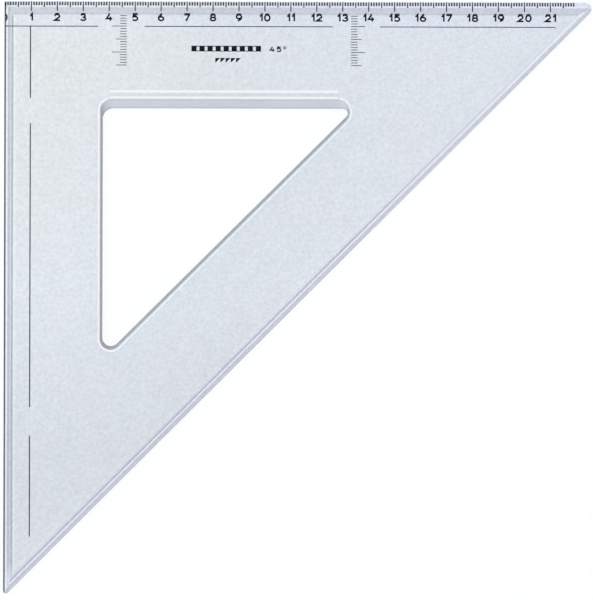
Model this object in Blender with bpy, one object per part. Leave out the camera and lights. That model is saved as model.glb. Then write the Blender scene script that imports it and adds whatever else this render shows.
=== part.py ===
"""A 45 degree set square: one clear acrylic plate, and the ink in the lines engraved in its underside.

Metres, +Z up. The plate lies on Z = 0. Its scale edge faces +Y, its second leg -X and its hypotenuse +X -Y.
The origin is the middle of the plate's bounding box, on the underside.
Places on the plate are pairs (along, down): along runs from the right-angled corner towards +X, and down
towards -Y.
"""

from math import cos, pi, sin, sqrt, tan

import bmesh
import bpy
from mathutils import Vector

MM = 0.001

# Plate
LEG = 229.7 * MM  # right-angled corner to either 45 degree tip, before the tips are rounded
THICKNESS = 3.0 * MM
CORNER_RADIUS = 0.5 * MM
RIGHT_TIP_RADIUS = 2.6 * MM
LOWER_TIP_RADIUS = 1.1 * MM

# Facet of the scale edge, and the bevels of the two drawing edges
FACET_WIDTH = 5.2 * MM
FACET_EDGE = 1.0 * MM  # height left at the scale edge
BEVEL_WIDTH = 3.0 * MM
BEVEL_EDGE = 1.4 * MM  # height left at the drawing edges

# Rebates under the drawing edges, which keep ink from creeping under the plate
REBATE_DEPTH = 0.5 * MM
REBATE_WIDTH = 1.9 * MM

# Triangular cut-out. Its walls lean outwards above an upright foot, the upper one most, for a fingertip to
# lift. Borders are the plate left beside the leg, beside the scale edge, and beside the hypotenuse at the
# right and at the lower corner. Radii are those of the corner at the right angle, the right corner and the
# lower corner.
BORDERS_AT_TOP = (37.2 * MM, 37.9 * MM, 36.75 * MM, 37.25 * MM)
RADII_AT_TOP = (4.2 * MM, 4.8 * MM, 4.1 * MM)
BORDERS_AT_FOOT = (37.9 * MM, 41.1 * MM, 38.05 * MM, 38.45 * MM)
RADII_AT_FOOT = (4.1 * MM, 1.8 * MM, 3.3 * MM)
FOOT_HEIGHT = 0.6 * MM

# Shallow ramp in the top face, leading to the upper wall
RELIEF_WIDTH = 3.6 * MM
RELIEF_DROP = 0.25 * MM
RELIEF_ENDS = (39.8 * MM, 129.4 * MM)
RELIEF_RUN_OUT = 0.8 * MM  # over which it rises to the top face at either end

# Engraved lines: the groove in the underside, and the ink in it
GROOVE_DEPTH = 0.15 * MM
INK_BOTTOM = 0.02 * MM
INK_THICKNESS = 0.10 * MM
INK_CLEARANCE = 0.03 * MM
EDGE_GAP = 0.05 * MM  # from the plate's edge, or a rebate, to the nearest ink

SCALE_START = 0.28 * MM  # the scale's zero, from the leg's edge
CENTIMETRE = 10 * MM
CENTIMETRE_TICKS = 21
CENTIMETRE_TICK_LENGTH = 4.0 * MM
CENTIMETRE_TICK_WIDTH = 0.45 * MM

# Guide lines about one centimetre inside both legs, as stretches along each leg
TOP_GUIDE_INSET = 9.6 * MM
TOP_GUIDE_WIDTH = 0.32 * MM
LEFT_GUIDE_INSET = 10.0 * MM
LEFT_GUIDE_WIDTH = 0.42 * MM
CORNER_GUIDE_ALONG = 36.1 * MM
CORNER_GUIDE_DOWN = 37.2 * MM
TOP_MIDDLE_GUIDE = (54.0 * MM, 126.4 * MM)
TOP_RIGHT_GUIDE = (144.5 * MM, 211.4 * MM)
LEFT_MIDDLE_GUIDE = (47.0 * MM, 156.4 * MM)
LEFT_LOWER_GUIDE = (167.4 * MM, 206.2 * MM)
HOOK_RADIUS = 1.2 * MM  # the top right guide line turns down at its end
HOOK_STEPS = 6

# Cross scales: the ticks of two short scales that run down from the scale edge, mirrored about one line
CROSS_MIDDLE = 90.27 * MM
CROSS_HALF_GAP = 43.2 * MM  # middle to the inner ends of the ticks
CROSS_RISE = 0.5 * MM  # how far every tick lies above its whole millimetre from the scale edge
CROSS_TICK_LENGTHS = {10: 5.55 * MM, 15: 4.1 * MM, 20: 5.55 * MM, 25: 4.1 * MM}
CROSS_TICK_WIDTH = 0.26 * MM

ARC_STEPS = 9  # 15 degrees a step at the tips, so that a point lies on each side of the bounding box
OVERSHOOT = 1.0 * MM  # how far cutters run past the faces that they open
SIDE_OVERSHOOT = 5.0 * MM  # and past the ends of the plate's sides

WIDTH = LEG - sqrt(2) * RIGHT_TIP_RADIUS
HEIGHT = LEG - sqrt(2) * LOWER_TIP_RADIUS

TOP_LEFT, RIGHT_TIP, LOWER_TIP = (0.0, 0.0), (LEG, 0.0), (0.0, LEG)


def clear_scene():
    for ob in list(bpy.data.objects):
        bpy.data.objects.remove(ob, do_unlink=True)


def place(along, down, z):
    """A point on the plate, in the part's frame."""
    return Vector((along - WIDTH / 2, HEIGHT / 2 - down, z))


def material(name, colour, roughness, transmission=0.0):
    made = bpy.data.materials.new(name)
    made.use_nodes = True
    shader = made.node_tree.nodes["Principled BSDF"]
    shader.inputs["Base Color"].default_value = (*colour, 1)
    shader.inputs["Roughness"].default_value = roughness
    shader.inputs["Metallic"].default_value = 0
    shader.inputs["Transmission Weight"].default_value = transmission
    return made


def add_object(name, bm, finish=None):
    """The object made of a bmesh whose faces are turned outwards. One without a finish is a cutter."""
    bmesh.ops.recalc_face_normals(bm, faces=bm.faces)
    mesh = bpy.data.meshes.new(name)
    bm.to_mesh(mesh)
    bm.free()
    ob = bpy.data.objects.new(name, mesh)
    bpy.context.scene.collection.objects.link(ob)
    if finish:
        mesh.materials.append(finish)
    else:
        ob.hide_render = True
        ob.display_type = "WIRE"
    return ob


def loft(bm, rings):
    """Adds the closed solid through rings of equally many (along, down, z) points."""
    loops = [[bm.verts.new(place(*point)) for point in ring] for ring in rings]
    for lower, upper in zip(loops, loops[1:]):
        for i in range(len(lower)):
            j = (i + 1) % len(lower)
            bm.faces.new((lower[i], lower[j], upper[j], upper[i]))
    bm.faces.new(loops[0])
    bm.faces.new(loops[-1])


def at_height(outline, z):
    return [(along, down, z) for along, down in outline]


def fillet(previous, corner, following, radius):
    """The points of the arc that rounds a corner between two straight sides."""
    corner = Vector(corner)
    back = (Vector(previous) - corner).normalized()
    ahead = (Vector(following) - corner).normalized()
    half = back.angle(ahead) / 2
    centre = corner + (back + ahead).normalized() * radius / sin(half)
    first = corner + back * radius / tan(half) - centre
    last = corner + ahead * radius / tan(half) - centre
    turn = first.angle(last)
    points = []
    for i in range(ARC_STEPS + 1):
        share = i / ARC_STEPS
        spoke = (first * sin((1 - share) * turn) + last * sin(share * turn)) / sin(turn)
        points.append(tuple(centre + spoke))
    return points


def rounded_triangle(corners, radii):
    points = []
    for i, (corner, radius) in enumerate(zip(corners, radii)):
        points += fillet(corners[i - 1], corner, corners[(i + 1) % 3], radius)
    return points


def side_cutter(name, start, end, inward, section):
    """A cutter along a straight side. Its section is (distance inwards, z) points."""
    run = (Vector(end) - Vector(start)).normalized() * SIDE_OVERSHOOT
    inward = Vector(inward).normalized()
    bm = bmesh.new()
    rings = []
    for point in (Vector(start) - run, Vector(end) + run):
        rings.append([(*(point + inward * inset), z) for inset, z in section])
    loft(bm, rings)
    return add_object(name, bm)


def slope_section(width, edge_height):
    """The triangle above a bevel that falls from the top face to edge_height over width."""
    slope = (THICKNESS - edge_height) / width
    top = THICKNESS + slope * OVERSHOOT
    return [(-OVERSHOOT, edge_height - slope * OVERSHOOT), (width + OVERSHOOT, top), (-OVERSHOOT, top)]


def edge_cutters():
    right, down, up_left = (1, 0), (0, 1), (-1, -1)
    facet = slope_section(FACET_WIDTH, FACET_EDGE)
    bevel = slope_section(BEVEL_WIDTH, BEVEL_EDGE)
    rebate = [
        (-OVERSHOOT, -OVERSHOOT),
        (REBATE_WIDTH, -OVERSHOOT),
        (REBATE_WIDTH, REBATE_DEPTH),
        (-OVERSHOOT, REBATE_DEPTH),
    ]
    return [
        side_cutter("scale_facet_cutter", TOP_LEFT, RIGHT_TIP, down, facet),
        side_cutter("leg_bevel_cutter", TOP_LEFT, LOWER_TIP, right, bevel),
        side_cutter("hypotenuse_bevel_cutter", RIGHT_TIP, LOWER_TIP, up_left, bevel),
        side_cutter("leg_rebate_cutter", TOP_LEFT, LOWER_TIP, right, rebate),
        side_cutter("hypotenuse_rebate_cutter", RIGHT_TIP, LOWER_TIP, up_left, rebate),
    ]


def cut_out_outline(borders, radii):
    beside_leg, beside_scale, beside_hypotenuse_right, beside_hypotenuse_lower = borders
    corners = [
        (beside_leg, beside_scale),
        (LEG - beside_hypotenuse_right * sqrt(2) - beside_scale, beside_scale),
        (beside_leg, LEG - beside_hypotenuse_lower * sqrt(2) - beside_leg),
    ]
    return rounded_triangle(corners, radii)


def cut_out_cutter():
    top = cut_out_outline(BORDERS_AT_TOP, RADII_AT_TOP)
    foot = cut_out_outline(BORDERS_AT_FOOT, RADII_AT_FOOT)
    rings = [
        at_height(foot, -OVERSHOOT),
        at_height(foot, FOOT_HEIGHT),
        at_height(top, THICKNESS),
        at_height(top, THICKNESS + OVERSHOOT),
    ]
    bm = bmesh.new()
    loft(bm, rings)
    return add_object("cut_out_cutter", bm)


def relief_cutter():
    """The ramp beside the cut-out's upper side, from the top face at its ends."""
    start, end = RELIEF_ENDS
    side = BORDERS_AT_TOP[1]
    slope = RELIEF_DROP / RELIEF_WIDTH
    drop = RELIEF_DROP + slope * OVERSHOOT
    near, far = side - RELIEF_WIDTH - OVERSHOOT, side + OVERSHOOT
    above = THICKNESS + OVERSHOOT
    stations = [(start, drop), (start + RELIEF_RUN_OUT, 0), (end - RELIEF_RUN_OUT, 0), (end, drop)]
    rings = []
    for along, raised in stations:
        near_height = THICKNESS + slope * OVERSHOOT + raised
        far_height = THICKNESS - drop + raised
        section = [(near, near_height), (far, far_height), (far, above), (near, above)]
        rings.append([(along, down, z) for down, z in section])
    bm = bmesh.new()
    loft(bm, rings)
    return add_object("relief_cutter", bm)


def ribbon(path, width, grow=0.0):
    """The outline of a line of some width along a path, with square ends. grow widens and lengthens it."""
    points = [Vector(point) for point in path]
    tangents = []
    for i in range(len(points)):
        before, after = points[max(i - 1, 0)], points[min(i + 1, len(points) - 1)]
        tangents.append((after - before).normalized())
    points[0] -= tangents[0] * grow
    points[-1] += tangents[-1] * grow
    half = width / 2 + grow
    left = [point + Vector((-t.y, t.x)) * half for point, t in zip(points, tangents)]
    right = [point - Vector((-t.y, t.x)) * half for point, t in zip(points, tangents)]
    return [tuple(point) for point in left + right[::-1]]


def corner_guide(grow=0.0):
    """A T: the guide line beside the scale edge, and the one beside the leg, which starts on it."""
    half_bar, half_stem = TOP_GUIDE_WIDTH / 2 + grow, LEFT_GUIDE_WIDTH / 2 + grow
    start = REBATE_WIDTH + EDGE_GAP if not grow else REBATE_WIDTH - OVERSHOOT
    end, foot = CORNER_GUIDE_ALONG + grow, CORNER_GUIDE_DOWN + grow
    above, below = TOP_GUIDE_INSET - half_bar, TOP_GUIDE_INSET + half_bar
    left, right = LEFT_GUIDE_INSET - half_stem, LEFT_GUIDE_INSET + half_stem
    return [
        (start, above),
        (end, above),
        (end, below),
        (right, below),
        (right, foot),
        (left, foot),
        (left, below),
        (start, below),
    ]


def centimetre_tick(number, grow=0.0):
    start = EDGE_GAP if not grow else -OVERSHOOT
    along = SCALE_START + number * CENTIMETRE
    return ribbon([(along, start), (along, CENTIMETRE_TICK_LENGTH)], CENTIMETRE_TICK_WIDTH, grow)


def cross_tick(side, down_mm, grow=0.0):
    """A tick of the left (-1) or right (1) cross scale."""
    inner = CROSS_MIDDLE + side * CROSS_HALF_GAP
    outer = inner + side * CROSS_TICK_LENGTHS[down_mm]
    down = down_mm * MM - CROSS_RISE
    return ribbon([(inner, down), (outer, down)], CROSS_TICK_WIDTH, grow)


def top_guide(start, end, grow=0.0):
    return ribbon([(start, TOP_GUIDE_INSET), (end, TOP_GUIDE_INSET)], TOP_GUIDE_WIDTH, grow)


def left_guide(start, end, grow=0.0):
    return ribbon([(LEFT_GUIDE_INSET, start), (LEFT_GUIDE_INSET, end)], LEFT_GUIDE_WIDTH, grow)


def hooked_guide(start, end, grow=0.0):
    """A guide line beside the scale edge whose end turns down in an eighth of a circle."""
    path = [(start, TOP_GUIDE_INSET)]
    for i in range(HOOK_STEPS + 1):
        angle = pi / 4 * i / HOOK_STEPS
        path.append((end + HOOK_RADIUS * sin(angle), TOP_GUIDE_INSET + HOOK_RADIUS * (1 - cos(angle))))
    return ribbon(path, TOP_GUIDE_WIDTH, grow)


def mark_outlines(grow=0.0):
    """Every engraved line by name: its ink's outline, or with grow its groove's."""
    marks = {
        "guide_line_corner": corner_guide(grow),
        "guide_line_top_middle": top_guide(*TOP_MIDDLE_GUIDE, grow),
        "guide_line_top_right": hooked_guide(*TOP_RIGHT_GUIDE, grow),
        "guide_line_left_middle": left_guide(*LEFT_MIDDLE_GUIDE, grow),
        "guide_line_left_lower": left_guide(*LEFT_LOWER_GUIDE, grow),
    }
    for number in range(1, CENTIMETRE_TICKS + 1):
        marks[f"centimetre_tick_{number:02d}"] = centimetre_tick(number, grow)
    for name, side in (("left", -1), ("right", 1)):
        for down_mm in CROSS_TICK_LENGTHS:
            marks[f"cross_scale_{name}_tick_{down_mm}"] = cross_tick(side, down_mm, grow)
    return marks


def groove_cutter():
    bm = bmesh.new()
    for outline in mark_outlines(INK_CLEARANCE).values():
        loft(bm, [at_height(outline, -OVERSHOOT), at_height(outline, GROOVE_DEPTH)])
    return add_object("groove_cutter", bm)


def make_plate():
    outline = rounded_triangle(
        [TOP_LEFT, RIGHT_TIP, LOWER_TIP], [CORNER_RADIUS, RIGHT_TIP_RADIUS, LOWER_TIP_RADIUS]
    )
    bm = bmesh.new()
    loft(bm, [at_height(outline, 0), at_height(outline, THICKNESS)])
    acrylic = material("clear_acrylic", (0.74, 0.79, 0.84), 0.08, transmission=0.9)
    plate = add_object("plate", bm, acrylic)
    for cutter in [*edge_cutters(), relief_cutter(), cut_out_cutter(), groove_cutter()]:
        cut = plate.modifiers.new(cutter.name, "BOOLEAN")
        cut.operation = "DIFFERENCE"
        cut.object = cutter


def make_ink():
    for name, outline in mark_outlines().items():
        bm = bmesh.new()
        loft(bm, [at_height(outline, INK_BOTTOM), at_height(outline, INK_BOTTOM + INK_THICKNESS)])
        add_object(name, bm, material(f"{name}_ink", (0.02, 0.02, 0.035), 0.5))


def main():
    clear_scene()
    make_plate()
    make_ink()


main()
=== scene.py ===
"""Looks of a 45 degree set square: its clear acrylic plate, the ink of its scale, floor, light and camera.

The frame has +Z up and the plate's underside on Z = 0. Places on the plate are pairs (along, down): along
runs from the right-angled corner towards +X, and down towards -Y.
"""

from math import cos, radians, sin, sqrt, tan

import bmesh
import bpy
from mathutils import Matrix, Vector


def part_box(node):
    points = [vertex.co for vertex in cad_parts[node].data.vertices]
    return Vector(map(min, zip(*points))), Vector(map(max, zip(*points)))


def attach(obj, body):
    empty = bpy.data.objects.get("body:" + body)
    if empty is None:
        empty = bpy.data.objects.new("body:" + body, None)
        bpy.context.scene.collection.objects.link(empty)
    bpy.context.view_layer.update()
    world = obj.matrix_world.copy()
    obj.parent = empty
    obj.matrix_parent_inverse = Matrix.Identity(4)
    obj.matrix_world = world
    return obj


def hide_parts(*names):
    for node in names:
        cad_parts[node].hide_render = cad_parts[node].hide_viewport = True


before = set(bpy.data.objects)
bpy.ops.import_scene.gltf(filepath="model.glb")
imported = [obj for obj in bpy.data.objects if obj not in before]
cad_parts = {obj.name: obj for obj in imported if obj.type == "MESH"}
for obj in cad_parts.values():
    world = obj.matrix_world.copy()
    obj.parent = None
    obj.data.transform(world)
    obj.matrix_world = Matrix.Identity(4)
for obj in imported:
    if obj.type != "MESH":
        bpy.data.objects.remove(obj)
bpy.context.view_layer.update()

MM = 0.001

# The plate, as the frame has it
PLATE_LOW, PLATE_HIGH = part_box("plate")
WIDTH, _, THICKNESS = PLATE_HIGH - PLATE_LOW
RIGHT_TIP_RADIUS = 2.6 * MM
LOWER_TIP_RADIUS = 1.1 * MM
CORNER_RADIUS = 0.5 * MM
LEG = WIDTH + sqrt(2) * RIGHT_TIP_RADIUS
FACET_WIDTH = 5.2 * MM
FACET_EDGE = 1.0 * MM
BEVEL_WIDTH = 3.0 * MM
BEVEL_EDGE = 1.4 * MM
REBATE_DEPTH = 0.5 * MM
REBATE_WIDTH = 1.9 * MM
# Around the cut-out: beside the leg, the scale edge, and the hypotenuse at its right and at its lower end
BORDERS_AT_TOP = (37.2 * MM, 37.9 * MM, 36.75 * MM, 37.25 * MM)
RADII_AT_TOP = (4.2 * MM, 4.8 * MM, 4.1 * MM)
BORDERS_AT_FOOT = (37.9 * MM, 41.1 * MM, 38.05 * MM, 38.45 * MM)
RADII_AT_FOOT = (4.1 * MM, 1.8 * MM, 3.3 * MM)
FOOT_HEIGHT = 0.6 * MM
BRIM_OUT = 0.95 * MM  # the rounded edge around the cut-out, beyond the top of its wall
BRIM_IN = 0.15 * MM
BRIM_DROP = 0.12 * MM
RELIEF_WIDTH = 3.6 * MM
RELIEF_DROP = 0.25 * MM
RELIEF_ENDS = (39.8 * MM, 129.4 * MM)
RELIEF_RUN_OUT = 0.8 * MM
TOP_LEFT, RIGHT_TIP, LOWER_TIP = (0.0, 0.0), (LEG, 0.0), (0.0, LEG)

ARC_STEPS = 36
OVERSHOOT = 1.0 * MM
CUTTER_RUN = 5.0 * MM
ARRIS = 0.12 * MM
ARRIS_STEPS = 2
ARRIS_ANGLE = radians(34)
SHARP_ANGLE = radians(4.1)

# Heights of a face's normal, at which its look changes
UNDERSIDE_NORMAL = -0.7
EDGE_NORMAL = 0.3
WALL_NORMAL = 0.95
RELIEF_NORMAL = 0.996
LEVEL_NORMAL = 0.9999
BEVEL_LEAN = 0.3  # how far the hypotenuse bevel's normal leans along and down, at least

# Ink of the scale
INK_BOTTOM, INK_TOP = (corner.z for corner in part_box("centimetre_tick_01"))
EDGE_GAP = 0.05 * MM
SCALE_MILLIMETRES = 219
SCALE_START = 0.28 * MM
TICK_TOP = 0.27 * MM
MILLIMETRE_TICK = (1.72 * MM, 0.6 * MM)  # how far down it ends, and width
HALF_CENTIMETRE_TICK = (2.4 * MM, 0.5 * MM)
FIRST_TICK = (4.0 * MM, 0.8 * MM)
CROSS_MIDDLE = 90.27 * MM
CROSS_HALF_GAP = 43.2 * MM
CROSS_RISE = 0.5 * MM
CROSS_TICK = (2.55 * MM, 0.26 * MM)
CROSS_ROWS = range(6, 26)
CROSS_LONG_ROWS = (10, 15, 20, 25)
TOP_GUIDE_INSET = 9.6 * MM
GUIDE_END_WIDTH = 0.4 * MM
NUMERAL_TOP = 4.75 * MM
NUMERAL_HEIGHT = 2.9 * MM
NUMERAL_STROKE = 0.64 * MM
NUMERAL_GAP = 0.45 * MM
FIGURE_BREADTH = 1.12
NUMERALS = range(22)
HALF_ZERO_REACH = 0.85 * MM  # of the first numeral, which the leg's edge cuts in half
HALF_ZERO_ANGLE = 60
STROKE_STEP = radians(12)
LINE_OVERRUN = 0.25  # of a line's width, past each end of its path
RING_CLOSURE = 0.01  # of a line's width, between the ends of a path that counts as a ring

# Generic marks below the scale
BLOCK_SCALE_START = (72.0 * MM, 17.0 * MM)
BLOCK_SCALE_HEIGHT = 2.2 * MM
BLOCK_COUNT = 9
BLOCK_LENGTH = 2.0 * MM
BLOCK_PITCH = 3.1 * MM
FRAME_LINE = 0.3 * MM
ANGLE_FIGURES = (104.4 * MM, 17.2 * MM, 2.2 * MM, 0.48 * MM, 0.6 * MM)  # middle, top, height, stroke, gap
DEGREE_RING = (107.9 * MM, 17.7 * MM, 0.4 * MM)  # middle and radius
TRIANGLES_START = (81.2 * MM, 21.7 * MM)
TRIANGLE_COUNT = 5
TRIANGLE_PITCH = 2.0 * MM
TRIANGLE_LEG = 1.85 * MM


def place(along, down, z):
    """A point on the plate, in the frame."""
    return Vector((PLATE_LOW.x + along, PLATE_HIGH.y - down, z))


# Solids


def add_object(name, bm):
    bmesh.ops.recalc_face_normals(bm, faces=bm.faces)
    mesh = bpy.data.meshes.new(name)
    bm.to_mesh(mesh)
    bm.free()
    ob = bpy.data.objects.new(name, mesh)
    bpy.context.scene.collection.objects.link(ob)
    return ob


def add_piece(name, bm, slot, *materials):
    ob = add_object(name, bm)
    for made in materials:
        ob.data.materials.append(made)
    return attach(ob, "root")


def loft(bm, rings):
    """Adds the closed solid through rings of equally many (along, down, z) points."""
    loops = [[bm.verts.new(place(*point)) for point in ring] for ring in rings]
    for lower, upper in zip(loops, loops[1:]):
        for i in range(len(lower)):
            j = (i + 1) % len(lower)
            bm.faces.new((lower[i], lower[j], upper[j], upper[i]))
    bm.faces.new(loops[0])
    bm.faces.new(loops[-1])


def at_height(outline, z):
    return [(along, down, z) for along, down in outline]


def slab(bm, outline, bottom, top):
    loft(bm, [at_height(outline, bottom), at_height(outline, top)])


def fillet(previous, corner, following, radius):
    """The points of the arc that rounds a corner between two straight sides."""
    corner = Vector(corner)
    back = (Vector(previous) - corner).normalized()
    ahead = (Vector(following) - corner).normalized()
    half = back.angle(ahead) / 2
    centre = corner + (back + ahead).normalized() * radius / sin(half)
    first = corner + back * radius / tan(half) - centre
    last = corner + ahead * radius / tan(half) - centre
    turn = first.angle(last)
    points = []
    for i in range(ARC_STEPS + 1):
        share = i / ARC_STEPS
        spoke = (first * sin((1 - share) * turn) + last * sin(share * turn)) / sin(turn)
        points.append(tuple(centre + spoke))
    return points


def rounded_triangle(corners, radii):
    points = []
    for i, (corner, radius) in enumerate(zip(corners, radii)):
        points += fillet(corners[i - 1], corner, corners[(i + 1) % 3], radius)
    return points


def side_cutter(start, end, inward, section):
    """A cutter along a straight side. Its section is (distance inwards, z) points."""
    run = (Vector(end) - Vector(start)).normalized() * CUTTER_RUN
    inward = Vector(inward).normalized()
    bm = bmesh.new()
    rings = []
    for point in (Vector(start) - run, Vector(end) + run):
        rings.append([(*(point + inward * inset), z) for inset, z in section])
    loft(bm, rings)
    return add_object("side_cutter", bm)


def slope_section(width, edge_height):
    """The triangle above a bevel that falls from the top face to edge_height over width."""
    slope = (THICKNESS - edge_height) / width
    top = THICKNESS + slope * OVERSHOOT
    return [(-OVERSHOOT, edge_height - slope * OVERSHOOT), (width + OVERSHOOT, top), (-OVERSHOOT, top)]


def edge_cutters():
    right, down, up_left = (1, 0), (0, 1), (-1, -1)
    facet = slope_section(FACET_WIDTH, FACET_EDGE)
    bevel = slope_section(BEVEL_WIDTH, BEVEL_EDGE)
    rebate = [
        (-OVERSHOOT, -OVERSHOOT),
        (REBATE_WIDTH, -OVERSHOOT),
        (REBATE_WIDTH, REBATE_DEPTH),
        (-OVERSHOOT, REBATE_DEPTH),
    ]
    return [
        side_cutter(TOP_LEFT, RIGHT_TIP, down, facet),
        side_cutter(TOP_LEFT, LOWER_TIP, right, bevel),
        side_cutter(RIGHT_TIP, LOWER_TIP, up_left, bevel),
        side_cutter(TOP_LEFT, LOWER_TIP, right, rebate),
        side_cutter(RIGHT_TIP, LOWER_TIP, up_left, rebate),
    ]


def cut_out_outline(borders, radii):
    beside_leg, beside_scale, beside_hypotenuse_right, beside_hypotenuse_lower = borders
    corners = [
        (beside_leg, beside_scale),
        (LEG - beside_hypotenuse_right * sqrt(2) - beside_scale, beside_scale),
        (beside_leg, LEG - beside_hypotenuse_lower * sqrt(2) - beside_leg),
    ]
    return rounded_triangle(corners, radii)


def cut_out_cutter():
    brim = cut_out_outline(
        [border - BRIM_OUT for border in BORDERS_AT_TOP], [radius + BRIM_OUT for radius in RADII_AT_TOP]
    )
    wall_top = cut_out_outline(
        [border - BRIM_IN for border in BORDERS_AT_TOP], [radius + BRIM_IN for radius in RADII_AT_TOP]
    )
    foot = cut_out_outline(BORDERS_AT_FOOT, RADII_AT_FOOT)
    bm = bmesh.new()
    rings = [
        at_height(foot, -OVERSHOOT),
        at_height(foot, FOOT_HEIGHT),
        at_height(wall_top, THICKNESS - BRIM_DROP),
        at_height(brim, THICKNESS),
        at_height(brim, THICKNESS + OVERSHOOT),
    ]
    loft(bm, rings)
    return add_object("cut_out_cutter", bm)


def relief_cutter():
    """The ramp beside the cut-out's upper side, from the top face at its ends."""
    start, end = RELIEF_ENDS
    side = BORDERS_AT_TOP[1]
    slope = RELIEF_DROP / RELIEF_WIDTH
    drop = RELIEF_DROP + slope * OVERSHOOT
    near, far = side - RELIEF_WIDTH - OVERSHOOT, side + OVERSHOOT
    above = THICKNESS + OVERSHOOT
    stations = [(start, drop), (start + RELIEF_RUN_OUT, 0), (end - RELIEF_RUN_OUT, 0), (end, drop)]
    rings = []
    for along, raised in stations:
        near_height = THICKNESS + slope * OVERSHOOT + raised
        far_height = THICKNESS - drop + raised
        section = [(near, near_height), (far, far_height), (far, above), (near, above)]
        rings.append([(along, down, z) for down, z in section])
    bm = bmesh.new()
    loft(bm, rings)
    return add_object("relief_cutter", bm)


def cut(ob, cutters):
    """Cuts the cutters away from an object's mesh, and removes them."""
    for cutter in cutters:
        step = ob.modifiers.new("cut", "BOOLEAN")
        step.operation = "DIFFERENCE"
        step.object = cutter
    bake(ob)
    for cutter in cutters:
        bpy.data.objects.remove(cutter, do_unlink=True)


def bake(ob):
    """Applies an object's modifiers to its mesh."""
    bpy.context.view_layer.update()
    solid = bpy.data.meshes.new_from_object(ob.evaluated_get(bpy.context.evaluated_depsgraph_get()))
    ob.modifiers.clear()
    ob.data = solid


def even_triangles(mesh):
    """Splits a mesh's many-sided level faces into triangles that are as even as they can be."""
    bm = bmesh.new()
    bm.from_mesh(mesh)
    level_faces = [
        face for face in bm.faces if abs(face.normal.z) > LEVEL_NORMAL and len(face.verts) > 4
    ]
    bmesh.ops.triangulate(bm, faces=level_faces, ngon_method="BEAUTY")
    bm.to_mesh(mesh)
    bm.free()


TOP, UNDERSIDE, EDGE, WALL, BRIM, RELIEF, BEVEL = range(7)


def look_of(face):
    """Which of the plate's looks a face takes."""
    along, down = face.center.x - PLATE_LOW.x, PLATE_HIGH.y - face.center.y
    inward = (LEG - along - down) / sqrt(2)
    if face.normal.z < UNDERSIDE_NORMAL:
        return UNDERSIDE
    sides = zip((along, down, inward), BORDERS_AT_TOP)
    beside_cut_out = all(distance > border - BRIM_OUT - OVERSHOOT for distance, border in sides)
    if abs(face.normal.z) < EDGE_NORMAL:
        return WALL if beside_cut_out else EDGE
    if inward < BEVEL_WIDTH and face.normal.x > BEVEL_LEAN and face.normal.y < -BEVEL_LEAN:
        return BEVEL
    if not beside_cut_out or face.normal.z > LEVEL_NORMAL:
        return TOP
    if face.normal.z < WALL_NORMAL:
        return WALL
    beyond_brim = down < BORDERS_AT_TOP[1] - BRIM_OUT
    on_relief = beyond_brim or (face.normal.z > RELIEF_NORMAL and face.normal.y < 0)
    return RELIEF if on_relief else BRIM


def make_plate(looks):
    outline = rounded_triangle(
        [TOP_LEFT, RIGHT_TIP, LOWER_TIP], [CORNER_RADIUS, RIGHT_TIP_RADIUS, LOWER_TIP_RADIUS]
    )
    bm = bmesh.new()
    slab(bm, outline, 0, THICKNESS)
    plate = add_piece("clear_plate", bm, "clear_acrylic", *looks)
    cut(plate, [*edge_cutters(), relief_cutter(), cut_out_cutter()])
    arris = plate.modifiers.new("arris", "BEVEL")
    arris.width = ARRIS
    arris.segments = ARRIS_STEPS
    arris.angle_limit = ARRIS_ANGLE
    arris.use_clamp_overlap = False
    bake(plate)
    plate.data.shade_smooth()
    plate.data.set_sharp_from_angle(angle=SHARP_ANGLE)
    for face in plate.data.polygons:
        face.material_index = look_of(face)
        face.use_smooth = abs(face.normal.z) < LEVEL_NORMAL
    even_triangles(plate.data)
    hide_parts("plate")


# Ink


def line(start, end, width):
    """The outline of a straight mark with square ends."""
    start, end = Vector(start), Vector(end)
    ahead = (end - start).normalized()
    aside = Vector((-ahead.y, ahead.x)) * width / 2
    return [tuple(start + aside), tuple(end + aside), tuple(end - aside), tuple(start - aside)]


def ink_heights(along):
    """Bottom and top of the ink: it follows the rebate's ceiling beside the leg."""
    rise = REBATE_DEPTH if along < REBATE_WIDTH else 0
    return INK_BOTTOM + rise, INK_TOP + rise


def scale_tick(bm, number, length, width):
    along = SCALE_START + number * MM
    first = max(along - width / 2, EDGE_GAP)
    last = along + width / 2
    outline = [(first, TICK_TOP), (last, TICK_TOP), (last, length), (first, length)]
    slab(bm, outline, *ink_heights(along))


def add_ink(name, bm, ink):
    return film(add_piece(name, bm, "ink", ink))


def film(ob):
    """Ink too thin to shade the floor under the plate."""
    ob.visible_shadow = False
    ob.visible_diffuse = False
    return ob


def make_scale_ticks(ink):
    millimetres, halves = bmesh.new(), bmesh.new()
    for number in range(SCALE_MILLIMETRES + 1):
        if number == 0:
            scale_tick(millimetres, number, *FIRST_TICK)
        elif number % 10 == 5:
            scale_tick(halves, number, *HALF_CENTIMETRE_TICK)
        elif number % 10:
            scale_tick(millimetres, number, *MILLIMETRE_TICK)
    add_ink("millimetre_ticks", millimetres, ink)
    add_ink("half_centimetre_ticks", halves, ink)


def make_cross_ticks(ink):
    for name, side in (("left", -1), ("right", 1)):
        inner = CROSS_MIDDLE + side * CROSS_HALF_GAP
        bm = bmesh.new()
        for row in CROSS_ROWS:
            if row in CROSS_LONG_ROWS:
                continue
            down = row * MM - CROSS_RISE
            ends = (inner, down), (inner + side * CROSS_TICK[0], down)
            slab(bm, line(*ends, CROSS_TICK[1]), INK_BOTTOM, INK_TOP)
        add_ink(f"cross_scale_{name}_millimetre_ticks", bm, ink)


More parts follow.
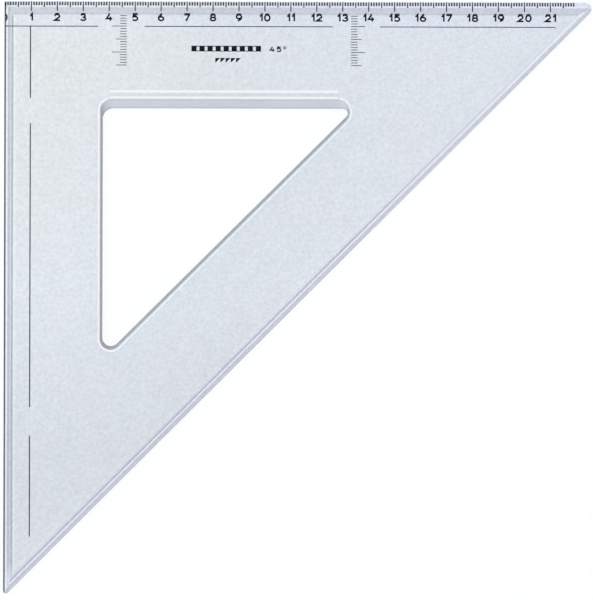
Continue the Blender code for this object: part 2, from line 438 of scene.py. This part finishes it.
def make_guide_end(ink):
    """The stretch of the first guide line over the rebate beside the leg."""
    bm = bmesh.new()
    ends = (EDGE_GAP, TOP_GUIDE_INSET), (REBATE_WIDTH - EDGE_GAP, TOP_GUIDE_INSET)
    slab(bm, line(*ends, GUIDE_END_WIDTH), *ink_heights(0))
    add_ink("guide_line_corner_end", bm, ink)


# Numerals: centrelines in a cell of height 1 and width CELL, from its top left corner


CELL = 0.76


def arc(centre, radii, start, end):
    """Points on an ellipse, from one angle to another in degrees. 0 is to the right and 90 is up."""
    start, end = radians(start), radians(end)
    steps = max(2, round(abs(end - start) / STROKE_STEP))
    points = []
    for i in range(steps + 1):
        angle = start + (end - start) * i / steps
        points.append((centre[0] + radii[0] * cos(angle), centre[1] - radii[1] * sin(angle)))
    return points


def zero():
    return CELL, [arc((0.38, 0.5), (0.38, 0.5), 0, 360)]


def one():
    return 0.30, [[(0, 0.24), (0.30, 0), (0.30, 1)]]


def two():
    bend = arc((0.37, 0.30), (0.35, 0.30), 165, -42)
    return CELL, [[*bend, (0, 1), (CELL, 1)]]


def three():
    upper = arc((0.36, 0.245), (0.32, 0.245), 150, -90)
    lower = arc((0.36, 0.735), (0.38, 0.265), 90, -150)
    return CELL, [upper, lower]


def four():
    return 0.80, [[(0.42, 0), (0, 0.70), (0.80, 0.70)], [(0.57, 0.42), (0.57, 1)]]


def five():
    bowl = arc((0.35, 0.66), (0.39, 0.34), 125, -140)
    return CELL, [[(0.70, 0), (0.14, 0), (0.08, 0.40), *bowl]]


def six():
    bowl = arc((0.38, 0.68), (0.38, 0.32), 0, 360)
    back = [(0.0, 0.68), *arc((0.60, 0.62), (0.60, 0.60), 180, 100)]
    return CELL, [bowl, back]


def seven():
    return 0.72, [[(0, 0), (0.72, 0), (0.24, 1)]]


def eight():
    upper = arc((0.38, 0.24), (0.32, 0.24), 0, 360)
    lower = arc((0.38, 0.73), (0.38, 0.27), 0, 360)
    return CELL, [upper, lower]


def nine():
    width, strokes = six()
    return width, [[(width - x, 1 - y) for x, y in stroke] for stroke in strokes]


FIGURES = (zero, one, two, three, four, five, six, seven, eight, nine)


def ribbon(bm, path, width, bottom, top):
    """Adds a line of some width along a path, mitred at its corners.

    A path that ends where it starts is a ring.
    """
    points = [Vector(point) for point in path]
    ring = (points[0] - points[-1]).length < width * RING_CLOSURE
    if ring:
        points.pop()
    count = len(points)
    left, right = [], []
    for i, point in enumerate(points):
        before = points[(i - 1) % count] if ring or i else None
        after = points[(i + 1) % count] if ring or i + 1 < count else None
        arriving = (point - before).normalized() if before else (after - point).normalized()
        leaving = (after - point).normalized() if after else arriving
        ahead = (arriving + leaving).normalized()
        aside = Vector((-ahead.y, ahead.x)) * width / 2 / ahead.dot(arriving)
        if not ring and i in (0, count - 1):
            point = point + ahead * width * (LINE_OVERRUN if i else -LINE_OVERRUN)
        left.append(point + aside)
        right.append(point - aside)
    if not ring:
        slab(bm, [tuple(point) for point in left + right[::-1]], bottom, top)
        return
    corners = []
    for inside, outside in zip(left, right):
        square = [(inside, bottom), (outside, bottom), (outside, top), (inside, top)]
        corners.append([bm.verts.new(place(*point, z)) for point, z in square])
    for here, ahead in zip(corners, corners[1:] + corners[:1]):
        for i in range(4):
            j = (i + 1) % 4
            bm.faces.new((here[i], here[j], ahead[j], ahead[i]))


def numeral_paths(text, middle, top, height, stroke_width, gap):
    """The paths of a number's figures, centred on a place along the scale."""
    size = height - stroke_width
    breadth = size * FIGURE_BREADTH
    figures = [FIGURES[int(figure)]() for figure in text]
    pitch = stroke_width + gap
    total = sum(width for width, _ in figures) * breadth + pitch * (len(figures) - 1)
    start = middle - total / 2
    paths = []
    for width, strokes in figures:
        for stroke in strokes:
            down = top + stroke_width / 2
            paths.append([(start + x * breadth, down + y * size) for x, y in stroke])
        start += width * breadth + pitch
    return paths


def half_zero():
    """The path of the first numeral's right half."""
    middle = (SCALE_START, NUMERAL_TOP + NUMERAL_HEIGHT / 2)
    rise = (NUMERAL_HEIGHT - NUMERAL_STROKE) / 2 / sin(radians(HALF_ZERO_ANGLE))
    return arc(middle, (HALF_ZERO_REACH, rise), HALF_ZERO_ANGLE, -HALF_ZERO_ANGLE)


def make_numerals(ink):
    for number in NUMERALS:
        bm = bmesh.new()
        if number == 0:
            ribbon(bm, half_zero(), NUMERAL_STROKE, *ink_heights(0))
        else:
            middle = SCALE_START + number * 10 * MM
            sizes = (NUMERAL_TOP, NUMERAL_HEIGHT, NUMERAL_STROKE, NUMERAL_GAP)
            for path in numeral_paths(str(number), middle, *sizes):
                ribbon(bm, path, NUMERAL_STROKE, INK_BOTTOM, INK_TOP)
        add_ink(f"numeral_{number:02d}", bm, ink)


def make_block_scale(ink):
    """A short bar of blocks, alternately filled and empty."""
    along, down = BLOCK_SCALE_START
    foot = down + BLOCK_SCALE_HEIGHT
    end = along + (BLOCK_COUNT - 1) * BLOCK_PITCH + BLOCK_LENGTH
    bm = bmesh.new()
    for i in range(BLOCK_COUNT):
        left = along + i * BLOCK_PITCH
        right = left + BLOCK_LENGTH
        slab(bm, [(left, down), (right, down), (right, foot), (left, foot)], INK_BOTTOM, INK_TOP)
    for middle in (down + FRAME_LINE / 2, foot - FRAME_LINE / 2):
        slab(bm, line((along, middle), (end, middle), FRAME_LINE), INK_BOTTOM, INK_TOP)
    add_ink("block_scale", bm, ink)


def make_angle_note(ink):
    """The figure 45 and a degree ring."""
    bm = bmesh.new()
    for path in numeral_paths("45", *ANGLE_FIGURES):
        ribbon(bm, path, ANGLE_FIGURES[3], INK_BOTTOM, INK_TOP)
    along, down, radius = DEGREE_RING
    ribbon(bm, arc((along, down), (radius, radius), 0, 360), FRAME_LINE, INK_BOTTOM, INK_TOP)
    add_ink("angle_note", bm, ink)


def make_small_triangles(ink):
    """A row of small set squares."""
    bm = bmesh.new()
    for i in range(TRIANGLE_COUNT):
        left, top = TRIANGLES_START[0] + i * TRIANGLE_PITCH, TRIANGLES_START[1]
        corners = [(left, top), (left + TRIANGLE_LEG, top), (left, top + TRIANGLE_LEG)]
        slab(bm, corners, INK_BOTTOM, INK_TOP)
    add_ink("small_triangles", bm, ink)


# Materials


def new_material(name):
    """A material, its node tree and its Principled node."""
    made = bpy.data.materials.new(name)
    made.use_nodes = True
    return made, made.node_tree, made.node_tree.nodes["Principled BSDF"]


def feed(tree, socket, value):
    if isinstance(value, bpy.types.NodeSocket):
        tree.links.new(value, socket)
    else:
        socket.default_value = value


def add_node(tree, kind, *values, **settings):
    """A node with its settings, and its inputs fed in order."""
    node = tree.nodes.new(kind)
    for name, value in settings.items():
        setattr(node, name, value)
    for socket, value in zip(node.inputs, values):
        feed(tree, socket, value)
    return node


def maths(tree, operation, *values, clamp=False):
    return add_node(tree, "ShaderNodeMath", *values, operation=operation, use_clamp=clamp).outputs[0]


def vectors(tree, operation, *values):
    return add_node(tree, "ShaderNodeVectorMath", *values, operation=operation).outputs[0]


def blend(tree, share, first, second):
    """first where share is 0, and second where it is 1."""
    change = maths(tree, "SUBTRACT", second, first)
    return maths(tree, "MULTIPLY_ADD", change, share, first)


def scaled(tree, colour, factor):
    node = add_node(tree, "ShaderNodeVectorMath", operation="SCALE")
    feed(tree, node.inputs[0], colour)
    feed(tree, node.inputs["Scale"], factor)
    return node.outputs[0]


def object_place(tree):
    return add_node(tree, "ShaderNodeTexCoord").outputs["Object"]


def noise(tree, scale, detail=2.0, stretch=(1, 1, 1), turn=0.0):
    """Noise from 0 to 1 over the object, in features per metre."""
    mapping = add_node(tree, "ShaderNodeMapping", object_place(tree), (0, 0, 0), (0, 0, turn), stretch)
    node = add_node(tree, "ShaderNodeTexNoise")
    feed(tree, node.inputs["Vector"], mapping.outputs[0])
    node.inputs["Scale"].default_value = scale
    node.inputs["Detail"].default_value = detail
    return node.outputs["Fac"]


def profile(tree, distance, stops):
    """A level along a distance, both read off (distance, level) stops."""
    start, span = stops[0][0], stops[-1][0] - stops[0][0]
    ramp = add_node(tree, "ShaderNodeValToRGB")
    elements = ramp.color_ramp.elements
    elements.remove(elements[1])
    for i, (at, level) in enumerate(stops):
        element = elements[0] if i == 0 else elements.new((at - start) / span)
        element.position = (at - start) / span
        element.color = (level, level, level, 1)
    feed(tree, ramp.inputs["Fac"], maths(tree, "DIVIDE", maths(tree, "SUBTRACT", distance, start), span))
    return ramp.outputs["Color"]


def plate_places(tree):
    """Millimetres along and down the plate, and inwards from the hypotenuse."""
    split = add_node(tree, "ShaderNodeSeparateXYZ", object_place(tree))
    along = maths(tree, "DIVIDE", maths(tree, "SUBTRACT", split.outputs["X"], PLATE_LOW.x), MM)
    down = maths(tree, "DIVIDE", maths(tree, "SUBTRACT", PLATE_HIGH.y, split.outputs["Y"]), MM)
    short = maths(tree, "SUBTRACT", LEG / MM, maths(tree, "ADD", along, down))
    return along, down, maths(tree, "DIVIDE", short, sqrt(2))


def lower(tree, first, second, third):
    """1 where the first height is the lowest of three."""
    other = maths(tree, "MINIMUM", second, third)
    return maths(tree, "LESS_THAN", first, other)


# Painted light and shade: how much light each place on the plate passes, beside its plain face, in
# millimetres from an edge. Levels above 1 are painted highlights and levels below 1 painted shade, standing
# in for the light and dark lines that refraction makes along the edges
SCALE_PROFILE = (
    (0, 1.0), (0.3, 0.96), (0.6, 0.93), (1.4, 0.93), (1.75, 0.98), (2.1, 0.98), (2.6, 0.73), (3.2, 0.75),
    (4.6, 0.75), (4.95, 0.66), (5.3, 0.90), (5.7, 1), (7.0, 1),
)
LEG_PROFILE = (
    (0, 0.02), (0.3, 0.02), (0.62, 0.33), (0.95, 1.26), (1.25, 0.99), (1.7, 0.76), (2.1, 0.65),
    (2.45, 0.78), (2.7, 0.87), (3.1, 0.67), (3.35, 0.57), (3.65, 0.90), (4.05, 1.10), (4.35, 1.07),
    (4.8, 1.01), (5.4, 1),
)
HYPOTENUSE_PROFILE = (
    (0, 0.80), (0.4, 0.70), (0.9, 0.76), (1.3, 0.63), (1.65, 0.96), (2.05, 1.09), (2.4, 0.68),
    (2.8, 0.56), (3.15, 0.90), (3.5, 1.0), (4.0, 0.98), (4.4, 1.07), (4.9, 1), (6, 1),
)
RIGHT_TIP_PROFILE = (
    (0, 0.80), (0.4, 0.70), (0.9, 0.80), (1.3, 0.76), (1.65, 0.98), (2.05, 1.12), (2.4, 1.0),
    (2.8, 0.90), (3.15, 1.0), (3.5, 1.0), (4.0, 0.98), (4.4, 0.96), (5.4, 0.98), (6, 1),
)
LOWER_TIP_PROFILE = (
    (0, 0.05), (0.3, 0.05), (0.62, 0.35), (0.95, 1.26), (1.25, 1.12), (1.7, 0.98), (3.1, 0.93),
    (3.35, 0.90), (3.65, 1.0), (4.05, 1.12), (4.35, 1.12), (4.8, 1.02), (5.4, 1),
)
RELIEF_PROFILE = (
    (34.2, 1.25), (34.4, 1.42), (34.9, 1.42), (35.2, 1.1), (35.6, 0.95), (36.5, 0.95), (36.8, 1),
)
LIP_PROFILE = (
    (36.5, 1), (36.8, 1.15), (37.0, 1.5), (37.4, 1.5), (37.6, 1.0), (37.8, 0.76), (38.4, 0.76),
)

# The same painted light and shade over the walls of the cut-out, in millimetres above the underside
WALL_PROFILE = ((0.6, 0.32), (1.2, 0.20), (2.0, 0.23), (2.6, 0.43), (2.85, 0.79), (3.0, 1.2))
LIFT_WALL_PROFILE = (
    (0.6, 0.55), (0.8, 0.73), (1.1, 0.90), (2.4, 0.86), (2.6, 0.75), (2.8, 0.78), (3.0, 1.0),
)
HYPOTENUSE_WALL_GAIN = 0.5

# What a part of the cut-out's normal is multiplied by, and what is added, for a share from 0 to 1; the
# shares set the painted light and shade of the walls and the brim by the way each faces
LIFT_BY_Y = (-3.0, -0.75)
HYPOTENUSE_WALL_BY_X = -1.4
LEFTWARDS_BY_X = -12.0
NOT_DOWNWARDS_BY_Y = (15.0, 1.65)

# Painted levels: a painted highlight over the cut-out's brim, fainter beside the hypotenuse, and painted
# shade over the plate's outer edges
BRIM_LEVEL = 1.36
HYPOTENUSE_BRIM_LEVEL = 1.12
EDGE_LEVEL = 0.6

# Shares along or down the plate, in millimetres
HYPOTENUSE_LINE_PROFILE = ((0, 0), (12, 0.15), (55, 0.6), (90, 1))
LOWER_TIP_SHARE_PROFILE = ((216, 0), (222, 1))
# A level lighter towards the leg, and darker towards the lower tip
LIGHTER_TOWARDS_LEG_PROFILE = ((0, 1.045), (45, 1.035), (85, 0.995), (230, 1.0))
DARKER_TOWARDS_TIP_PROFILE = ((0, 1), (110, 1), (170, 0.912), (230, 0.912))
# Shares of the painted blue sheen
BLUE_SCALE_PROFILE = ((0, 1), (5.2, 1), (6, 0.7), (11, 0.4), (14, 0))
BLUE_EDGE_PROFILE = ((0, 1), (3.2, 1), (4, 0), (5, 0))
LESS_SHEEN_CORNER_PROFILE = ((0, 0.7), (60, 0.6), (130, 0), (200, 0))

# Noises: features per metre, and detail
CLOUD_NOISE = (140, 3)
GRAIN_NOISE = (750, 4)
PATCH_NOISE = (60, 3)
SMEAR_NOISE = (90, 4, (1, 3, 1), 0.6)
INK_GRAIN_NOISE = (9000, 3)
INK_SHEEN_NOISE = (4000, 2)
CLOUDINESS = 0.07
GRAIN = 0.30
PATCHINESS = 0.9
INK_GRAIN = 0.8
INK_DARKEST = 0.6
INK_SHEEN_SPREAD = 0.3

ACRYLIC_IOR = 1.49
FACE_ROUGHNESS = 0.03
EDGE_ROUGHNESS = 0.07
WALL_ROUGHNESS = 0.06
BRIM_ROUGHNESS = 0.05
RELIEF_ROUGHNESS = 0.04
SMEARING = 0.5  # how far the roughness varies, as a share of itself
BEVEL_HAZE = 0.25
HAZE_SHARE = BEVEL_HAZE / (1 - BEVEL_HAZE)  # raises the clear part's level to make up for the haze
HAZE_GAIN = 0.2
EDGE_SATIN = 0.5
WALL_SATIN = 0.35
DEEPEST = 6  # bounces, past which light leaves the plate straight
BODY_TINT = (0.800, 0.838, 0.880)
SATIN_COLOUR = (0.49, 0.51, 0.56)
WALL_TINT = (0.788, 0.815, 0.892)
PAINTED_BLUE_SHEEN = (-0.004, -0.002, 0.062)  # painted blue sheen, added to the body's tint in the bevels and along the scale
FACE_LAMP_TINT = (0.96, 0.97, 0.98)  # what the lamps' light keeps on its way through
EDGE_LAMP_TINT = (0.9, 0.92, 0.94)
UNTINTED = (1, 1, 1)
SCALE_INK = (0.003, 0.003, 0.012)
LINE_INK = (0.012, 0.014, 0.075)
INK_ROUGHNESS = 0.5
INK_SPECULAR = 0.1


def hypotenuse_level(tree, down, inward):
    """The painted level beside the hypotenuse: the painted light line at the bevel's top fades towards the
    right tip.
    """
    share = profile(tree, down, HYPOTENUSE_LINE_PROFILE)
    at_tip = profile(tree, inward, RIGHT_TIP_PROFILE)
    further_down = profile(tree, inward, HYPOTENUSE_PROFILE)
    return blend(tree, share, at_tip, further_down)


def plain_level(tree):
    """The light that the plate's top face passes, with the painted light and dark bands along its bevels
    and the ramp to the cut-out.
    """
    along, down, inward = plate_places(tree)
    facet_slope = (THICKNESS - FACET_EDGE) / FACET_WIDTH
    facet_height = maths(tree, "MULTIPLY_ADD", down, facet_slope, FACET_EDGE / MM)
    slope = (THICKNESS - BEVEL_EDGE) / BEVEL_WIDTH
    leg_height = maths(tree, "MULTIPLY_ADD", along, slope, BEVEL_EDGE / MM)
    hypotenuse_height = maths(tree, "MULTIPLY_ADD", inward, slope, BEVEL_EDGE / MM)
    level = hypotenuse_level(tree, down, inward)
    on_facet = lower(tree, facet_height, leg_height, hypotenuse_height)
    level = blend(tree, on_facet, level, profile(tree, down, SCALE_PROFILE))
    on_leg = lower(tree, leg_height, facet_height, hypotenuse_height)
    at_lower_tip = profile(tree, down, LOWER_TIP_SHARE_PROFILE)
    beside_leg = profile(tree, along, LEG_PROFILE)
    beside_tip = profile(tree, along, LOWER_TIP_PROFILE)
    return blend(tree, on_leg, level, blend(tree, at_lower_tip, beside_leg, beside_tip))


def worn(tree, level):
    """A level with faint random mottling, lighter towards the right-angled corner and darker towards the
    lower tip.
    """
    along, down, _ = plate_places(tree)
    # Lighter towards the leg and darker towards the lower tip
    clear = profile(tree, along, LIGHTER_TOWARDS_LEG_PROFILE)
    darker_towards_tip = profile(tree, down, DARKER_TOWARDS_TIP_PROFILE)
    cloud = maths(tree, "MULTIPLY_ADD", noise(tree, *CLOUD_NOISE), CLOUDINESS, 1 - CLOUDINESS / 2)
    grain = maths(tree, "MULTIPLY_ADD", noise(tree, *GRAIN_NOISE), GRAIN, 1 - GRAIN / 2)
    drift = maths(tree, "MULTIPLY", clear, darker_towards_tip)
    mottling = maths(tree, "MULTIPLY", cloud, grain)
    return maths(tree, "MULTIPLY", level, maths(tree, "MULTIPLY", drift, mottling))


def top_tint(tree):
    """The body's tint, with a painted blue sheen in the bevels and along the scale, less of it towards the
    right-angled corner, and bluer in drifting patches elsewhere.
    """
    along, down, inward = plate_places(tree)
    beside_scale = profile(tree, down, BLUE_SCALE_PROFILE)
    beside_edges = profile(tree, maths(tree, "MINIMUM", along, inward), BLUE_EDGE_PROFILE)
    patches = maths(tree, "MULTIPLY_ADD", noise(tree, *PATCH_NOISE), PATCHINESS, -PATCHINESS / 2)
    less_sheen = profile(tree, maths(tree, "ADD", along, down), LESS_SHEEN_CORNER_PROFILE)
    share = maths(tree, "ADD", maths(tree, "MAXIMUM", beside_scale, beside_edges), patches)
    share = maths(tree, "SUBTRACT", share, less_sheen)
    return vectors(tree, "ADD", BODY_TINT, scaled(tree, PAINTED_BLUE_SHEEN, share))


def wall_tint(tree):
    """One tint over all of the walls and edges."""
    return WALL_TINT


def make_acrylic(name, level, tint, lamp_tint, roughness, satin=0.0):
    """Clear acrylic, which lets the lamps' light through.

    level and tint make the share of light that it passes, and with it the painted light and shade of the
    plate's bands, and satin is the share that it scatters.
    """
    made, tree, shader = new_material(name)
    if level:
        passed = scaled(tree, tint(tree), level(tree))
        feed(tree, shader.inputs["Base Color"], vectors(tree, "MULTIPLY", passed, passed))
    else:
        shader.inputs["Base Color"].default_value = (*UNTINTED, 1)
    smear = noise(tree, *SMEAR_NOISE)
    smoothest = roughness * (1 - SMEARING / 2)
    smeared = maths(tree, "MULTIPLY_ADD", smear, roughness * SMEARING, smoothest)
    feed(tree, shader.inputs["Roughness"], smeared)
    shader.inputs["IOR"].default_value = ACRYLIC_IOR
    shader.inputs["Transmission Weight"].default_value = 1
    path = add_node(tree, "ShaderNodeLightPath")
    spread = maths(tree, "MAXIMUM", path.outputs["Is Shadow Ray"], path.outputs["Is Diffuse Ray"])
    deep = maths(tree, "GREATER_THAN", path.outputs["Ray Depth"], DEEPEST)
    spread = maths(tree, "MAXIMUM", spread, deep)
    passing = add_node(tree, "ShaderNodeBsdfTransparent", (*lamp_tint, 1))
    surface = shader.outputs[0]
    if satin:
        haze = add_node(tree, "ShaderNodeBsdfDiffuse", (*SATIN_COLOUR, 1))
        surface = add_node(tree, "ShaderNodeMixShader", satin, surface, haze.outputs[0]).outputs[0]
    choice = add_node(tree, "ShaderNodeMixShader", spread, surface, passing.outputs[0])
    tree.links.new(choice.outputs[0], tree.nodes["Material Output"].inputs["Surface"])
    return made


def top_level(tree):
    return worn(tree, plain_level(tree))


def bevel_level(tree):
    """The hypotenuse bevel's painted level, with its painted light and dark bands, less what its haze adds.
    """
    _, down, inward = plate_places(tree)
    level = hypotenuse_level(tree, down, inward)
    return worn(tree, maths(tree, "MULTIPLY_ADD", level, 1 + HAZE_SHARE, -HAZE_GAIN))


def relief_level(tree):
    """The painted level of the ramp, painted light and dark lines which fade at its ends, and of the lip
    between it and the wall, a painted highlight with painted shade beyond it.
    """
    along, down, _ = plate_places(tree)
    start, end = (end / MM for end in RELIEF_ENDS)
    run_out = RELIEF_RUN_OUT / MM
    from_start, to_end = maths(tree, "SUBTRACT", along, start), maths(tree, "SUBTRACT", end, along)
    from_end = maths(tree, "MINIMUM", from_start, to_end)
    share = maths(tree, "SUBTRACT", maths(tree, "DIVIDE", from_end, run_out), 0.5, clamp=True)
    ramp = blend(tree, share, 1, profile(tree, down, RELIEF_PROFILE))
    return worn(tree, maths(tree, "MULTIPLY", ramp, profile(tree, down, LIP_PROFILE)))


def facing_direction(tree):
    """The X, Y and Z outputs of the surface's normal."""
    normal = add_node(tree, "ShaderNodeNewGeometry").outputs["Normal"]
    return add_node(tree, "ShaderNodeSeparateXYZ", normal).outputs


def wall_level(tree):
    """The light that the cut-out's walls pass, painted light and shade by height and by the way each wall
    faces: more on the upper one, which slopes most.
    """
    split = add_node(tree, "ShaderNodeSeparateXYZ", object_place(tree))
    height = maths(tree, "DIVIDE", split.outputs["Z"], MM)
    facing = facing_direction(tree)
    lift = maths(tree, "MULTIPLY_ADD", facing["Y"], *LIFT_BY_Y, clamp=True)
    upright_level = profile(tree, height, WALL_PROFILE)
    level = blend(tree, lift, upright_level, profile(tree, height, LIFT_WALL_PROFILE))
    beside_hypotenuse = maths(tree, "MULTIPLY", facing["X"], HYPOTENUSE_WALL_BY_X, clamp=True)
    share = maths(tree, "MULTIPLY", beside_hypotenuse, maths(tree, "SUBTRACT", 1, lift))
    gain = maths(tree, "MULTIPLY_ADD", share, HYPOTENUSE_WALL_GAIN, 1)
    return worn(tree, maths(tree, "MULTIPLY", level, gain))


def brim_level(tree):
    """The painted highlight over the cut-out's rounded brim, lower beside the hypotenuse."""
    facing = facing_direction(tree)
    leftwards = maths(tree, "MULTIPLY", facing["X"], LEFTWARDS_BY_X, clamp=True)
    not_downwards = maths(tree, "MULTIPLY_ADD", facing["Y"], *NOT_DOWNWARDS_BY_Y, clamp=True)
    beside_hypotenuse = maths(tree, "MULTIPLY", leftwards, not_downwards)
    return worn(tree, blend(tree, beside_hypotenuse, BRIM_LEVEL, HYPOTENUSE_BRIM_LEVEL))


# Painted shade over the plate's outer edges
def edge_level(tree):
    return worn(tree, EDGE_LEVEL)


def make_plate_looks():
    """The plate's looks, in the order that look_of numbers them."""
    face, edge = FACE_LAMP_TINT, EDGE_LAMP_TINT
    return [
        make_acrylic("acrylic_top", top_level, top_tint, face, FACE_ROUGHNESS),
        make_acrylic("acrylic_underside", None, None, UNTINTED, FACE_ROUGHNESS),
        make_acrylic("acrylic_edge", edge_level, wall_tint, edge, EDGE_ROUGHNESS, satin=EDGE_SATIN),
        make_acrylic("acrylic_wall", wall_level, wall_tint, edge, WALL_ROUGHNESS, satin=WALL_SATIN),
        make_acrylic("acrylic_brim", brim_level, top_tint, face, BRIM_ROUGHNESS),
        make_acrylic("acrylic_relief", relief_level, top_tint, face, RELIEF_ROUGHNESS),
        make_acrylic("acrylic_bevel", bevel_level, top_tint, face, FACE_ROUGHNESS, satin=BEVEL_HAZE),
    ]


def make_ink_look(name, colour, roughness):
    """Near-black ink, whose colour and sheen vary finely."""
    made, tree, shader = new_material(name)
    grain = maths(tree, "MULTIPLY_ADD", noise(tree, *INK_GRAIN_NOISE), INK_GRAIN, INK_DARKEST)
    feed(tree, shader.inputs["Base Color"], scaled(tree, colour, grain))
    shader.inputs["Specular IOR Level"].default_value = INK_SPECULAR
    smoothest = roughness - INK_SHEEN_SPREAD / 2
    sheen = maths(tree, "MULTIPLY_ADD", noise(tree, *INK_SHEEN_NOISE), INK_SHEEN_SPREAD, smoothest)
    feed(tree, shader.inputs["Roughness"], sheen)
    return made


# Stage


WORLD_LEVEL = 1.14
OPENING_LEVEL = 0.12  # of the dark opening overhead, that the camera looks through
OPENING_HEIGHTS = (0.955, 0.975)  # sines of the elevations at its rim
SKY_COLOUR = (0.985, 0.99, 1)
FLOOR_LEVEL = 0.9
FLOOR_ROUGHNESS = 0.9
FLOOR_SIDES = 96
FLOOR_RADIUS = 6
FLOOR_DROP = 0.1 * MM
SOFTBOX_SIZE = 1.4
SOFTBOX_ENERGY = 4
SOFTBOX_PLACE = (-1.1, 1.0, 1.3)
LENS = 150
SENSOR_WIDTH = 36
VIEW_WIDTH = 231.15 * MM
CAMERA_OFFSET = (-0.291 * MM, -0.795 * MM)
CAMERA_TURN = 0.0025


def make_floor():
    bm = bmesh.new()
    bmesh.ops.create_circle(bm, cap_ends=True, segments=FLOOR_SIDES, radius=FLOOR_RADIUS)
    floor = add_object("floor", bm)
    floor.location.z = -FLOOR_DROP
    made, _, shader = new_material("pale_floor")
    shader.inputs["Base Color"].default_value = (FLOOR_LEVEL, FLOOR_LEVEL, FLOOR_LEVEL, 1)
    shader.inputs["Roughness"].default_value = FLOOR_ROUGHNESS
    shader.inputs["Specular IOR Level"].default_value = 0
    floor.data.materials.append(made)


def make_light():
    """An even pale sky with a dark opening overhead, and one softbox."""
    world = bpy.data.worlds.new("studio")
    bpy.context.scene.world = world
    world.use_nodes = True
    tree = world.node_tree
    backdrop = tree.nodes["Background"]
    backdrop.inputs["Color"].default_value = (*SKY_COLOUR, 1)
    sky = add_node(tree, "ShaderNodeTexCoord").outputs["Generated"]
    sine = add_node(tree, "ShaderNodeSeparateXYZ", sky).outputs["Z"]
    opening = add_node(tree, "ShaderNodeMapRange", sine, *OPENING_HEIGHTS, 1, OPENING_LEVEL)
    feed(tree, backdrop.inputs["Strength"], maths(tree, "MULTIPLY", opening.outputs[0], WORLD_LEVEL))
    lamp = bpy.data.lights.new("softbox", "AREA")
    lamp.shape = "SQUARE"
    lamp.size = SOFTBOX_SIZE
    lamp.energy = SOFTBOX_ENERGY
    softbox = bpy.data.objects.new("softbox", lamp)
    softbox.location = SOFTBOX_PLACE
    softbox.rotation_euler = (-softbox.location).to_track_quat("-Z", "Y").to_euler()
    bpy.context.scene.collection.objects.link(softbox)


def make_camera():
    """A camera straight above, with the plate filling its view."""
    lens = bpy.data.cameras.new("camera")
    lens.lens = LENS
    lens.sensor_width = SENSOR_WIDTH
    camera = bpy.data.objects.new("camera", lens)
    distance = VIEW_WIDTH * LENS / SENSOR_WIDTH
    camera.location = (*CAMERA_OFFSET, FACET_EDGE + distance)
    camera.rotation_euler = (0, 0, CAMERA_TURN)
    bpy.context.scene.collection.objects.link(camera)
    bpy.context.scene.camera = camera


def main():
    scale_ink = make_ink_look("scale_ink", SCALE_INK, INK_ROUGHNESS)
    line_ink = make_ink_look("line_ink", LINE_INK, INK_ROUGHNESS)
    make_plate(make_plate_looks())
    make_scale_ticks(scale_ink)
    make_cross_ticks(line_ink)
    make_guide_end(line_ink)
    make_numerals(scale_ink)
    make_block_scale(scale_ink)
    make_angle_note(scale_ink)
    make_small_triangles(scale_ink)
    for name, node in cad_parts.items():
        if name != "plate":
            node.data.materials.clear()
            node.data.materials.append(scale_ink if name.startswith("centimetre") else line_ink)
            film(node)
    make_floor()
    make_light()
    make_camera()
    bpy.context.scene.view_settings.view_transform = "Standard"


main()
